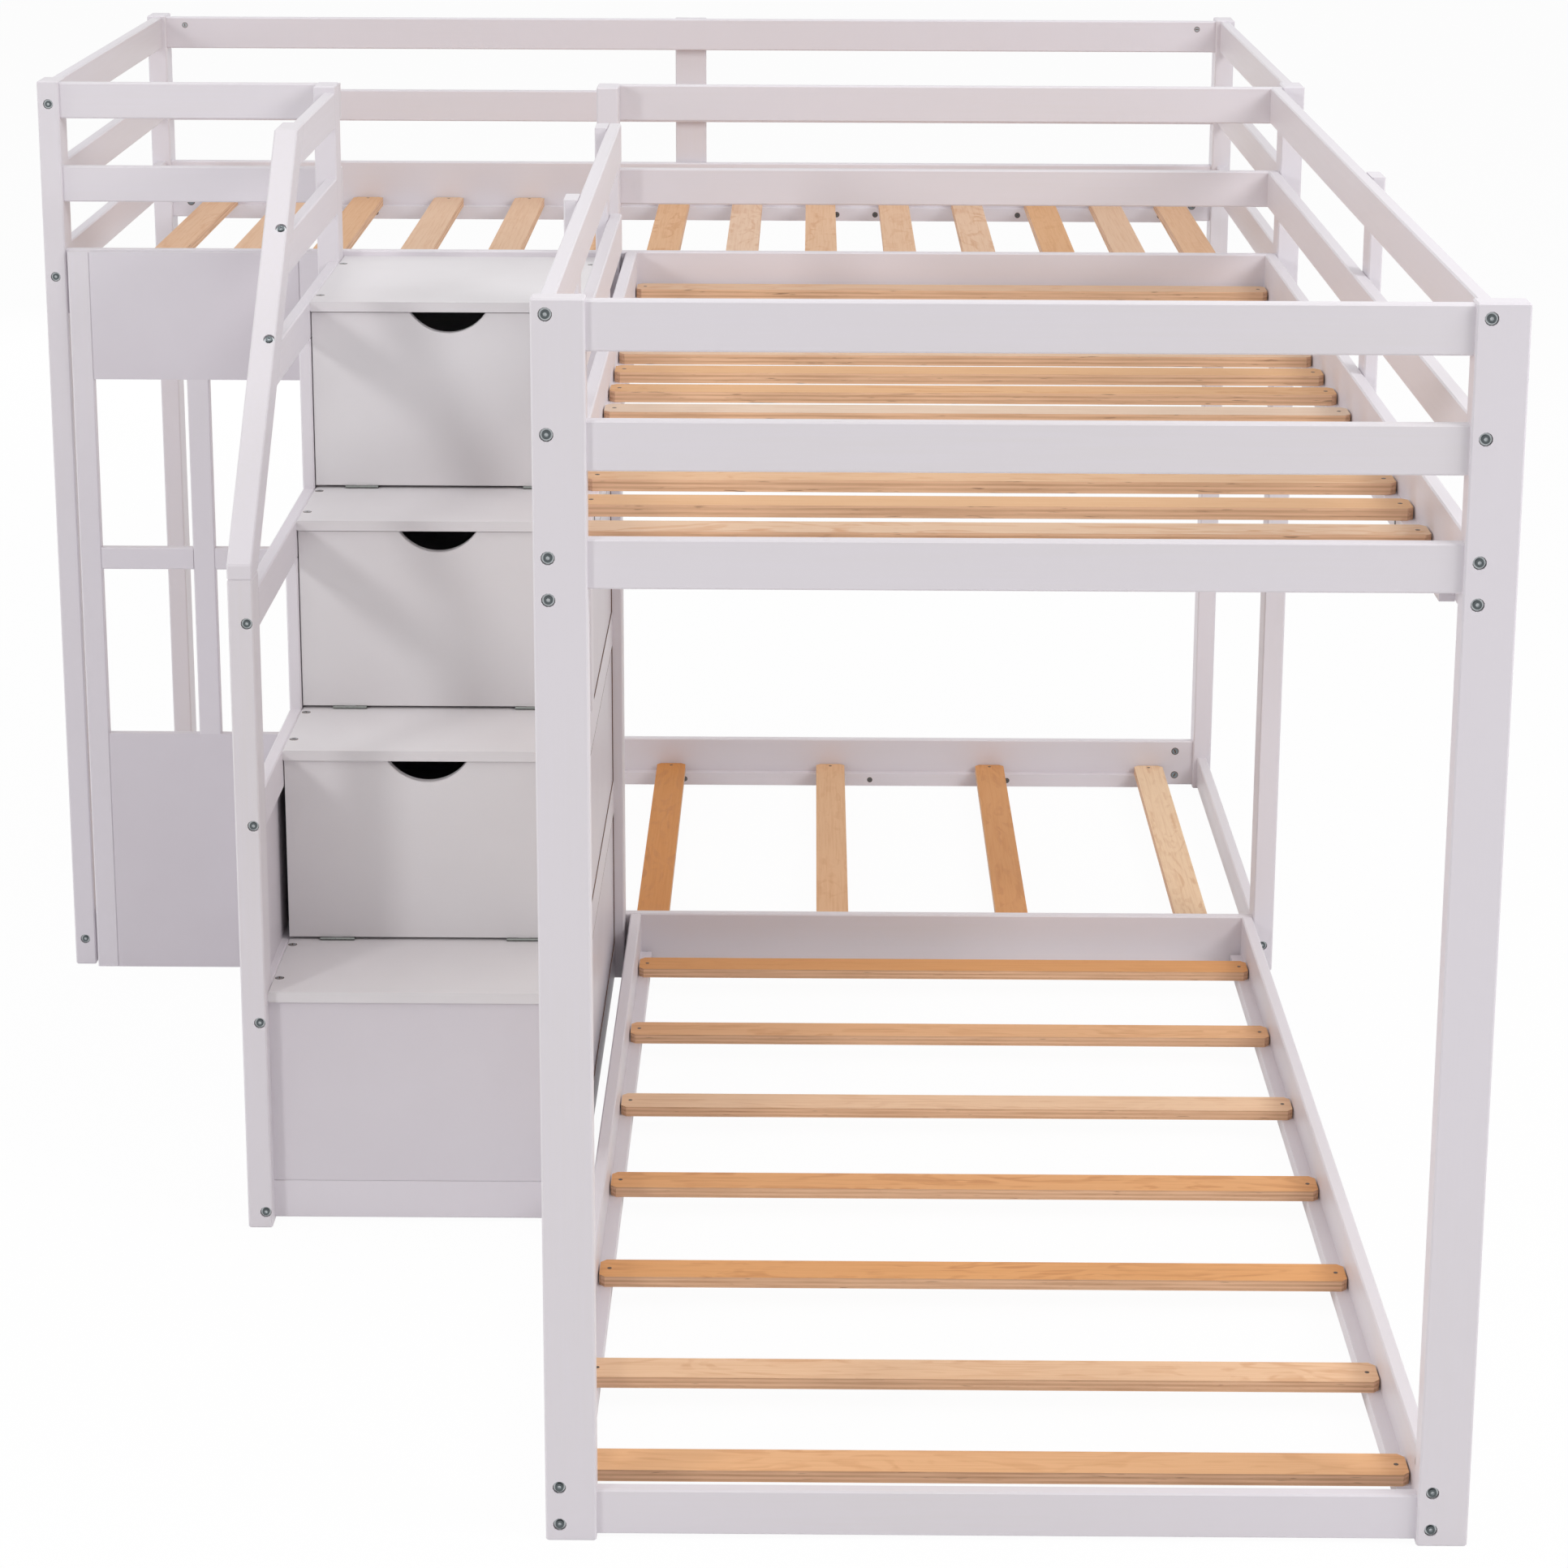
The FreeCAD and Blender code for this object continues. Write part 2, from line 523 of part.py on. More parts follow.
os.makedirs("parts", exist_ok=True)
for name, shapes in nodes.items():
    shape = shapes[0] if len(shapes) == 1 else Part.makeCompound(shapes)
    shape.exportStep("parts/" + name + ".step")
print(len(nodes), "nodes,", sum(len(s.Solids) for group in nodes.values() for s in group), "solids")
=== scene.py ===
import bmesh
import bpy
import math
import numpy as np
from mathutils import Matrix, Vector


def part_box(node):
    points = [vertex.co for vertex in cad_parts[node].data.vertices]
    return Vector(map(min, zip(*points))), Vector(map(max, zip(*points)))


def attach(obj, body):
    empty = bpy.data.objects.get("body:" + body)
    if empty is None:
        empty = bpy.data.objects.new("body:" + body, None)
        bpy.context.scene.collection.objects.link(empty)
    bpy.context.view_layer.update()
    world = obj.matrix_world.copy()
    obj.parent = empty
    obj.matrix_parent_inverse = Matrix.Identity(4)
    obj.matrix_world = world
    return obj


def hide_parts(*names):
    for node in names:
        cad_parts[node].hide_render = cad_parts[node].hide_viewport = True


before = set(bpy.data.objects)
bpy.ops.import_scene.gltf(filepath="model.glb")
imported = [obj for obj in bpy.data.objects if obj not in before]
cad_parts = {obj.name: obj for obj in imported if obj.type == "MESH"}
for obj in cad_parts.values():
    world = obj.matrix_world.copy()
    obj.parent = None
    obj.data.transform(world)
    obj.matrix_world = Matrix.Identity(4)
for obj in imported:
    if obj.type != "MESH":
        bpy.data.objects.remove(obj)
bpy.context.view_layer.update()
mm = 0.001
print("frame loaded,", len(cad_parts), "nodes")


def toLinear(hexColour):
    parts = [int(hexColour[i:i + 2], 16) / 255 for i in (1, 3, 5)]
    return [c / 12.92 if c <= 0.04045 else ((c + 0.055) / 1.055) ** 2.4 for c in parts] + [1.0]


def addNode(tree, kind, inputs=None, **settings):
    made = tree.nodes.new(kind)
    for name, value in settings.items():
        setattr(made, name, value)
    for key, value in (inputs or {}).items():
        if isinstance(value, bpy.types.NodeSocket):
            tree.links.new(value, made.inputs[key])
        else:
            made.inputs[key].default_value = value
    return made


def newMaterial(name):
    made = bpy.data.materials.new(name)
    made.use_nodes = True
    made.node_tree.nodes.clear()
    return made, made.node_tree


def grainCoordinates(tree, along, grainMm, stretch):
    # object coordinates in grain widths, drawn out along the board
    place = addNode(tree, "ShaderNodeTexCoord")
    scale = [1000 / grainMm] * 3
    scale[along] /= stretch
    return addNode(tree, "ShaderNodeMapping", {"Vector": place.outputs["Object"], "Scale": scale})


# satin paint brushed on pine: a soft sheen, with the wood's ridges faintly raised along each board
paintedPine = {
    "colour": "#E0DBE1",
    "thinColour": "#DCD7D7",     # where the coat is thin, the wood warms it
    "grainMm": 5.0,              # coarser than real grain, to show at this size
    "grainStretch": 30.0,
    "grainDetail": 4.0,
    "patchMm": 420.0,
    "patchStretch": 2.0,
    "patchDetail": 2.0,
    "thinFrom": 0.4,             # noise where the coat starts to thin, and where it is thinnest
    "thinTo": 0.75,
    "thinShare": 0.8,
    "smooth": 0.36,              # roughness in the hollows, and on the ridges
    "rough": 0.5,
    "ridgeMm": 0.25,
    "ridgeStrength": 0.35,
    "ior": 1.46,
}


def makePaintedPine(name, along):
    look = paintedPine
    material, tree = newMaterial(name)
    grain = grainCoordinates(tree, along, look["grainMm"], look["grainStretch"])
    ridges = addNode(tree, "ShaderNodeTexNoise", {
        "Vector": grain.outputs["Vector"], "Scale": 1.0, "Detail": look["grainDetail"]})
    wide = grainCoordinates(tree, along, look["patchMm"], look["patchStretch"])
    patches = addNode(tree, "ShaderNodeTexNoise", {
        "Vector": wide.outputs["Vector"], "Scale": 1.0, "Detail": look["patchDetail"]})
    thin = addNode(tree, "ShaderNodeMapRange", {
        "Value": patches.outputs["Fac"], "From Min": look["thinFrom"], "From Max": look["thinTo"],
        "To Max": look["thinShare"]})
    streak = addNode(tree, "ShaderNodeMath", {
        0: thin.outputs["Result"], 1: ridges.outputs["Fac"]}, operation="MULTIPLY")
    colour = addNode(tree, "ShaderNodeMix", {
        "Factor": streak.outputs["Value"], "A": toLinear(look["colour"]),
        "B": toLinear(look["thinColour"])}, data_type="RGBA")
    gloss = addNode(tree, "ShaderNodeMapRange", {
        "Value": ridges.outputs["Fac"], "To Min": look["smooth"], "To Max": look["rough"]})
    bump = addNode(tree, "ShaderNodeBump", {
        "Height": ridges.outputs["Fac"], "Strength": look["ridgeStrength"],
        "Distance": look["ridgeMm"] * mm})
    shader = addNode(tree, "ShaderNodeBsdfPrincipled", {
        "Base Color": colour.outputs["Result"], "Roughness": gloss.outputs["Result"],
        "Normal": bump.outputs["Normal"], "IOR": look["ior"]})
    addNode(tree, "ShaderNodeOutputMaterial", {"Surface": shader.outputs["BSDF"]})
    return material


# sprayed lacquer on fibreboard: flat and even, with the fine dimples that the spray leaves
paintedBoard = {
    "dimpleMm": 2.5,
    "dimpleDetail": 2.0,
    "dimpleDepthMm": 0.06,
    "dimpleStrength": 0.2,
    "patchMm": 300.0,
    "patchDetail": 3.0,
    "dustFrom": 0.35,            # noise where dust starts to show, and where it is thickest
    "dustTo": 0.75,
    "smooth": 0.35,
    "rough": 0.47,
    "shine": 0.3,
    "ior": 1.48,
}


def makePaintedBoard(name, colour, dustColour):
    look = paintedBoard
    material, tree = newMaterial(name)
    place = addNode(tree, "ShaderNodeTexCoord")
    dimples = addNode(tree, "ShaderNodeTexNoise", {
        "Vector": place.outputs["Object"], "Scale": 1000 / look["dimpleMm"],
        "Detail": look["dimpleDetail"]})
    patches = addNode(tree, "ShaderNodeTexNoise", {
        "Vector": place.outputs["Object"], "Scale": 1000 / look["patchMm"],
        "Detail": look["patchDetail"]})
    dust = addNode(tree, "ShaderNodeMapRange", {
        "Value": patches.outputs["Fac"], "From Min": look["dustFrom"], "From Max": look["dustTo"]})
    tone = addNode(tree, "ShaderNodeMix", {
        "Factor": dust.outputs["Result"], "A": toLinear(colour), "B": toLinear(dustColour)},
        data_type="RGBA")
    gloss = addNode(tree, "ShaderNodeMapRange", {
        "Value": patches.outputs["Fac"], "To Min": look["smooth"], "To Max": look["rough"]})
    bump = addNode(tree, "ShaderNodeBump", {
        "Height": dimples.outputs["Fac"], "Strength": look["dimpleStrength"],
        "Distance": look["dimpleDepthMm"] * mm})
    shader = addNode(tree, "ShaderNodeBsdfPrincipled", {
        "Base Color": tone.outputs["Result"], "Roughness": gloss.outputs["Result"],
        "Normal": bump.outputs["Normal"], "IOR": look["ior"], "Specular IOR Level": look["shine"]})
    addNode(tree, "ShaderNodeOutputMaterial", {"Surface": shader.outputs["BSDF"]})
    return material


# bare plywood: soft tan swirls on the peeled faces, streaky plies on the sawn edges
slatPlywood = {
    "figureColour": "#BC7B45",
    "plyPale": "#E6BB97",
    "plyBrown": "#A87850",
    "fleckColour": "#5E3D25",    # torn fibres and small knots in the sawn edges
    "grainMm": 3.0,
    "grainStretch": 45.0,
    "grainDetail": 5.0,
    "grainRoughness": 0.65,
    "grainDepthMm": 0.3,
    "grainStrength": 0.3,
    "streakMm": 11.0,
    "streakStretch": 30.0,
    "streakDetail": 4.0,
    "figureMm": 60.0,
    "figureStretch": 3.5,
    "figureDetail": 3.0,
    "figureTwist": 1.2,
    "figureBands": 32.0,
    "figureFrom": 0.1,           # height of each wave where its dark line starts
    "figureShare": 0.65,
    "shownFrom": 0.35,           # from here on, From is where a mark starts, and To where it is full
    "shownTo": 0.65,
    "speckFrom": 0.48,
    "speckTo": 0.75,
    "speckShare": 0.32,
    "plyMm": 3.0,
    "plyContrast": 0.12,
    "plyFrom": 0.35,
    "plyTo": 0.8,
    "plyShare": 0.7,
    "fleckMm": 2.4,
    "fleckStretch": 16.0,
    "fleckDetail": 2.0,
    "fleckFrom": 0.66,
    "fleckTo": 0.75,
    "fleckShare": 0.65,
    "edgeBelow": 0.5,            # a face whose normal rises less than this is a sawn edge
    "smooth": 0.5,
    "rough": 0.75,
    "ior": 1.5,
}
# each row has tones of its own, matched to how the row looks in its light, so they carry painted shade,
# most on the back deck under its guard rails; each slat has a tone between pale and tan
slatRows = {
    "back_deck_slats": {"pale": "#E1C1A6", "tan": "#D8A574", "chance": 321.0},
    "back_floor_slats": {"pale": "#EFCFAC", "tan": "#CE883F", "chance": 13.0},
    "wing_deck_slats": {"pale": "#DDC5AF", "tan": "#D9A671", "chance": 245.0},
    "wing_floor_slats": {"pale": "#EDC8A5", "tan": "#DF9F5F", "chance": 1.0},
}


def makeSlatPlywood(name, along, first, pitch, row):
    look = slatPlywood
    across = 1 - along
    material, tree = newMaterial(name)
    place = addNode(tree, "ShaderNodeTexCoord")
    parts = addNode(tree, "ShaderNodeSeparateXYZ", {"Vector": place.outputs["Object"]})
    # one number for each slat, from its place in the row
    step = addNode(tree, "ShaderNodeMath", {
        0: parts.outputs[across], 1: 1 / pitch, 2: 0.5 - first / pitch}, operation="MULTIPLY_ADD")
    number = addNode(tree, "ShaderNodeMath", {0: step.outputs["Value"]}, operation="FLOOR")
    shifted = addNode(tree, "ShaderNodeMath", {
        0: number.outputs["Value"], 1: row["chance"]}, operation="ADD")
    chance = addNode(tree, "ShaderNodeTexWhiteNoise", {"W": shifted.outputs["Value"]},
                     noise_dimensions="1D")
    tone = addNode(tree, "ShaderNodeMix", {
        "Factor": chance.outputs["Value"], "A": toLinear(row["pale"]), "B": toLinear(row["tan"])},
        data_type="RGBA")

    fine = grainCoordinates(tree, along, look["grainMm"], look["grainStretch"])
    fibres = addNode(tree, "ShaderNodeTexNoise", {
        "Vector": fine.outputs["Vector"], "Scale": 1.0, "Detail": look["grainDetail"],
        "Roughness": look["grainRoughness"]})
    broad = grainCoordinates(tree, along, look["streakMm"], look["streakStretch"])
    streaks = addNode(tree, "ShaderNodeTexNoise", {
        "Vector": broad.outputs["Vector"], "Scale": 1.0, "Detail": look["streakDetail"]})
    wide = grainCoordinates(tree, along, look["figureMm"], look["figureStretch"])
    figure = addNode(tree, "ShaderNodeTexNoise", {
        "Vector": wide.outputs["Vector"], "W": shifted.outputs["Value"], "Scale": 1.0,
        "Detail": look["figureDetail"], "Distortion": look["figureTwist"]}, noise_dimensions="4D")
    bands = addNode(tree, "ShaderNodeMath", {
        0: figure.outputs["Fac"], 1: look["figureBands"]}, operation="MULTIPLY")
    waves = addNode(tree, "ShaderNodeMath", {0: bands.outputs["Value"]}, operation="SINE")
    lines = addNode(tree, "ShaderNodeMapRange", {
        "Value": waves.outputs["Value"], "From Min": look["figureFrom"], "To Max": look["figureShare"]})
    # the swirls are strong on some slats only, and fade in and out along them
    other = addNode(tree, "ShaderNodeSeparateColor", {"Color": chance.outputs["Color"]})
    shown = addNode(tree, "ShaderNodeMapRange", {
        "Value": streaks.outputs["Fac"], "From Min": look["shownFrom"], "From Max": look["shownTo"],
        "To Max": other.outputs["Blue"]})
    swirl = addNode(tree, "ShaderNodeMath", {
        0: lines.outputs["Result"], 1: shown.outputs["Result"]}, operation="MULTIPLY")
    lined = addNode(tree, "ShaderNodeMix", {
        "Factor": swirl.outputs["Value"], "A": tone.outputs["Result"],
        "B": toLinear(look["figureColour"])}, data_type="RGBA")
    speck = addNode(tree, "ShaderNodeMapRange", {
        "Value": fibres.outputs["Fac"], "From Min": look["speckFrom"], "From Max": look["speckTo"],
        "To Max": look["speckShare"]})
    face = addNode(tree, "ShaderNodeMix", {
        "Factor": speck.outputs["Result"], "A": lined.outputs["Result"],
        "B": toLinear(look["figureColour"])}, data_type="RGBA")

    # the sawn edges: a stripe for each ply, broken up by fibres and flecks
    plies = addNode(tree, "ShaderNodeMath", {
        0: parts.outputs["Z"], 1: math.pi / (look["plyMm"] * mm)}, operation="MULTIPLY")
    stripes = addNode(tree, "ShaderNodeMath", {0: plies.outputs["Value"]}, operation="SINE")
    layer = addNode(tree, "ShaderNodeMath", {
        0: stripes.outputs["Value"], 1: look["plyContrast"], 2: fibres.outputs["Fac"]},
        operation="MULTIPLY_ADD")
    brown = addNode(tree, "ShaderNodeMapRange", {
        "Value": layer.outputs["Value"], "From Min": look["plyFrom"], "From Max": look["plyTo"],
        "To Max": look["plyShare"]})
    sawn = addNode(tree, "ShaderNodeMix", {
        "Factor": brown.outputs["Result"], "A": toLinear(look["plyPale"]),
        "B": toLinear(look["plyBrown"])}, data_type="RGBA")
    short = grainCoordinates(tree, along, look["fleckMm"], look["fleckStretch"])
    torn = addNode(tree, "ShaderNodeTexNoise", {
        "Vector": short.outputs["Vector"], "Scale": 1.0, "Detail": look["fleckDetail"]})
    fleck = addNode(tree, "ShaderNodeMapRange", {
        "Value": torn.outputs["Fac"], "From Min": look["fleckFrom"], "From Max": look["fleckTo"],
        "To Max": look["fleckShare"]})
    flecked = addNode(tree, "ShaderNodeMix", {
        "Factor": fleck.outputs["Result"], "A": sawn.outputs["Result"],
        "B": toLinear(look["fleckColour"])}, data_type="RGBA")

    facing = addNode(tree, "ShaderNodeNewGeometry")
    turned = addNode(tree, "ShaderNodeSeparateXYZ", {"Vector": facing.outputs["Normal"]})
    flat = addNode(tree, "ShaderNodeMath", {0: turned.outputs["Z"]}, operation="ABSOLUTE")
    edge = addNode(tree, "ShaderNodeMath", {
        0: flat.outputs["Value"], 1: look["edgeBelow"]}, operation="LESS_THAN")
    colour = addNode(tree, "ShaderNodeMix", {
        "Factor": edge.outputs["Value"], "A": face.outputs["Result"],
        "B": flecked.outputs["Result"]}, data_type="RGBA")
    bump = addNode(tree, "ShaderNodeBump", {
        "Height": fibres.outputs["Fac"], "Strength": look["grainStrength"],
        "Distance": look["grainDepthMm"] * mm})
    gloss = addNode(tree, "ShaderNodeMapRange", {
        "Value": fibres.outputs["Fac"], "To Min": look["smooth"], "To Max": look["rough"]})
    shader = addNode(tree, "ShaderNodeBsdfPrincipled", {
        "Base Color": colour.outputs["Result"], "Roughness": gloss.outputs["Result"],
        "Normal": bump.outputs["Normal"], "IOR": look["ior"]})
    addNode(tree, "ShaderNodeOutputMaterial", {"Surface": shader.outputs["BSDF"]})
    return material


# zinc plating on pressed steel: a cool grey shine, slightly clouded
zincPlate = {
    "cloudMm": 3.0,
    "cloudDetail": 3.0,
    "smooth": 0.2,
    "rough": 0.45,
}


def makeZinc(name, colour, cloudColour):
    look = zincPlate
    material, tree = newMaterial(name)
    place = addNode(tree, "ShaderNodeTexCoord")
    clouds = addNode(tree, "ShaderNodeTexNoise", {
        "Vector": place.outputs["Object"], "Scale": 1000 / look["cloudMm"],
        "Detail": look["cloudDetail"]})
    tone = addNode(tree, "ShaderNodeMix", {
        "Factor": clouds.outputs["Fac"], "A": toLinear(colour), "B": toLinear(cloudColour)},
        data_type="RGBA")
    gloss = addNode(tree, "ShaderNodeMapRange", {
        "Value": clouds.outputs["Fac"], "To Min": look["smooth"], "To Max": look["rough"]})
    shader = addNode(tree, "ShaderNodeBsdfPrincipled", {
        "Base Color": tone.outputs["Result"], "Roughness": gloss.outputs["Result"], "Metallic": 1.0})
    addNode(tree, "ShaderNodeOutputMaterial", {"Surface": shader.outputs["BSDF"]})
    return material


pineAlong = [makePaintedPine("paintedPine" + axis, i) for i, axis in enumerate("XYZ")]
stepBoard = makePaintedBoard("lacqueredStepBoard", "#E2DFE1", "#DCD8DA")
panelBoard = makePaintedBoard("lacqueredPanelBoard", "#DCD7DD", "#D6D0D6")
boltZinc = makeZinc("boltZinc", "#BCC0C2", "#A2A7AA")        # the plating unshaded, the brightest
shadedZinc = makeZinc("shadedZinc", "#6C7478", "#8A9195")    # the same zinc darkened as painted shade, on deck nuts and hinge screws
hingeZinc = makeZinc("hingeZinc", "#767A77", "#8E918E")      # warmer grey, on the rolled leaves
paintedShadeSteel = makeZinc("paintedShadeSteel", "#4E5456", "#686E70")      # darkened as painted shade and a painted dim reflection, on bolt heads and small screws
# bare wood's brown, darkened as painted shade, as it looks in a drilled hole or an open joint
shadedBareWood = makePaintedBoard("shadedBareWood", "#6A4526", "#4E3019")
print("materials made")


def solidPoints(nodeName):
    # the corner points of each separate solid in a node
    work = bmesh.new()
    work.from_mesh(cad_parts[nodeName].data)
    bmesh.ops.remove_doubles(work, verts=work.verts, dist=0.01 * mm)
    left = set(work.verts)
    found = []
    for start in work.verts:
        if start not in left:
            continue
        left.remove(start)
        island, front = [], [start]
        while front:
            vert = front.pop()
            island.append(vert.co.copy())
            for edge in vert.link_edges:
                other = edge.other_vert(vert)
                if other in left:
                    left.remove(other)
                    front.append(other)
        found.append(np.array(island))
    work.free()
    return found


def low(points):
    return Vector(points.min(axis=0))


def high(points):
    return Vector(points.max(axis=0))


def longAxis(lowest, highest):
    # 0 for a piece that runs along X, 1 for one along Y
    return 0 if highest.x - lowest.x > highest.y - lowest.y else 1


def setMaterial(nodeName, material):
    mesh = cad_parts[nodeName].data
    mesh.materials.clear()
    mesh.materials.append(material)


treads = ["top_tread", "upper_tread", "lower_tread", "bottom_tread"]
flaps = ["upper_flap", "middle_flap", "lower_flap"]
stepNodes = treads + flaps + ["stair_carcass_sides"]
panelNodes = ["riser_panel", "window_panels", "stair_left_panels", "stair_right_panels", "stair_back_panel"]
steelNodes = [flap + "_leaves" for flap in flaps] + ["fixed_hinge_leaves", "hinge_pins", "frame_bolts"]
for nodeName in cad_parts:
    if nodeName in stepNodes:
        setMaterial(nodeName, stepBoard)
    elif nodeName in panelNodes:
        setMaterial(nodeName, panelBoard)
    elif nodeName in steelNodes:
        setMaterial(nodeName, hingeZinc)
    elif nodeName in slatRows:
        slats = solidPoints(nodeName)
        along = longAxis(low(slats[0]), high(slats[0]))
        centres = sorted((low(slat) + high(slat))[1 - along] / 2 for slat in slats)
        pitch = centres[2] - centres[1]
        row = slatRows[nodeName]
        setMaterial(nodeName, makeSlatPlywood(nodeName + "Plywood", along, centres[1], pitch, row))
    else:
        board = solidPoints(nodeName)[0]
        size = list(high(board) - low(board))
        setMaterial(nodeName, pineAlong[size.index(max(size))])
print("CAD pieces finished")

# the small steel forms: sides of the round ones, and seeds for the chance turns
steelForms = {
    "boltSides": 32, "shankSides": 12, "socketSides": 6, "screwSides": 20, "holeSides": 20,
    "slotReach": 1.3,            # a slot's length in head radii
    "slotDepths": (2.0, 1.9),    # a bar is centred on the head's face; the second cuts a hair less deep
    "boltSeed": 3, "screwSeed": 5, "holeSeed": 7,
}


def startTree(name, sizes, materials):
    tree = bpy.data.node_groups.new(name, "GeometryNodeTree")
    tree.interface.new_socket("Spots", in_out="INPUT", socket_type="NodeSocketGeometry")
    for size in sizes:
        tree.interface.new_socket(size, in_out="INPUT", socket_type="NodeSocketFloat")
    for material in materials:
        tree.interface.new_socket(material, in_out="INPUT", socket_type="NodeSocketMaterial")
    tree.interface.new_socket("Pieces", in_out="OUTPUT", socket_type="NodeSocketGeometry")
    return tree, addNode(tree, "NodeGroupInput").outputs


def liftedBy(tree, geometry, height):
    place = addNode(tree, "ShaderNodeCombineXYZ", {"Z": height})
    moved = addNode(tree, "GeometryNodeTransform", {
        "Geometry": geometry, "Translation": place.outputs["Vector"]})
    return moved.outputs["Geometry"]


def onEachSpot(tree, given, shape, seed):
    # one copy at each spot, turned to face out and given a chance turn about its own axis
    facing = addNode(tree, "GeometryNodeInputNamedAttribute", {"Name": "facing"}, data_type="FLOAT_VECTOR")
    outward = addNode(tree, "FunctionNodeAlignRotationToVector", {
        "Vector": facing.outputs["Attribute"]}, axis="Z")
    chance = addNode(tree, "FunctionNodeRandomValue", {2: 0.0, 3: math.pi, "Seed": seed}, data_type="FLOAT")
    spin = addNode(tree, "FunctionNodeAxisAngleToRotation", {"Axis": (0, 0, 1), "Angle": chance.outputs[1]})
    turned = addNode(tree, "FunctionNodeRotateRotation", {
        "Rotation": outward.outputs["Rotation"], "Rotate By": spin.outputs["Rotation"]},
        rotation_space="LOCAL")
    copies = addNode(tree, "GeometryNodeInstanceOnPoints", {
        "Points": given["Spots"], "Instance": shape, "Rotation": turned.outputs["Rotation"]})
    real = addNode(tree, "GeometryNodeRealizeInstances", {"Geometry": copies.outputs["Instances"]})
    addNode(tree, "NodeGroupOutput", {"Pieces": real.outputs["Geometry"]})


def makeBoltTree():
    # a flange in its seat with a tapered hex-socket head on it; the spot is level with the CAD head's face
    sizes = ["Seat Depth", "Flange Radius", "Flange Height", "Head Radius", "Top Radius", "Head Height",
             "Socket Radius", "Socket Depth", "Shank Radius", "Shank Length"]
    tree, given = startTree("sunkBolts", sizes, ["Flange", "Head", "Socket"])
    floorLevel = addNode(tree, "ShaderNodeMath", {0: given["Seat Depth"], 1: -1.0}, operation="MULTIPLY")
    flange = addNode(tree, "GeometryNodeMeshCylinder", {
        "Vertices": steelForms["boltSides"], "Radius": given["Flange Radius"],
        "Depth": given["Flange Height"]})
    flangeLevel = addNode(tree, "ShaderNodeMath", {
        0: given["Flange Height"], 1: 0.5, 2: floorLevel.outputs["Value"]}, operation="MULTIPLY_ADD")
    shank = addNode(tree, "GeometryNodeMeshCylinder", {
        "Vertices": steelForms["shankSides"], "Radius": given["Shank Radius"],
        "Depth": given["Shank Length"]})
    shankLevel = addNode(tree, "ShaderNodeMath", {
        0: given["Shank Length"], 1: -0.5, 2: floorLevel.outputs["Value"]}, operation="MULTIPLY_ADD")
    steel = addNode(tree, "GeometryNodeJoinGeometry")
    for form, level in ((shank, shankLevel), (flange, flangeLevel)):
        placed = liftedBy(tree, form.outputs["Mesh"], level.outputs["Value"])
        tree.links.new(placed, steel.inputs["Geometry"])
    steelDone = addNode(tree, "GeometryNodeSetMaterial", {
        "Geometry": steel.outputs["Geometry"], "Material": given["Flange"]})

    head = addNode(tree, "GeometryNodeMeshCone", {
        "Vertices": steelForms["boltSides"], "Radius Top": given["Top Radius"],
        "Radius Bottom": given["Head Radius"], "Depth": given["Head Height"]})
    headDone = addNode(tree, "GeometryNodeSetMaterial", {
        "Geometry": liftedBy(tree, head.outputs["Mesh"], floorLevel.outputs["Value"]),
        "Material": given["Head"]})
    topLevel = addNode(tree, "ShaderNodeMath", {
        0: given["Head Height"], 1: floorLevel.outputs["Value"]}, operation="ADD")
    twice = addNode(tree, "ShaderNodeMath", {0: given["Socket Depth"], 1: 2.0}, operation="MULTIPLY")
    hexagon = addNode(tree, "GeometryNodeMeshCylinder", {
        "Vertices": steelForms["socketSides"], "Radius": given["Socket Radius"],
        "Depth": twice.outputs["Value"]})
    hexagonDone = addNode(tree, "GeometryNodeSetMaterial", {
        "Geometry": liftedBy(tree, hexagon.outputs["Mesh"], topLevel.outputs["Value"]),
        "Material": given["Socket"]})
    cut = addNode(tree, "GeometryNodeMeshBoolean", {
        "Mesh 1": headDone.outputs["Geometry"], "Mesh 2": hexagonDone.outputs["Geometry"]},
        operation="DIFFERENCE", solver="MANIFOLD")
    whole = addNode(tree, "GeometryNodeJoinGeometry")
    for part in (steelDone.outputs["Geometry"], cut.outputs["Mesh"]):
        tree.links.new(part, whole.inputs["Geometry"])
    onEachSpot(tree, given, whole.outputs["Geometry"], steelForms["boltSeed"])
    return tree


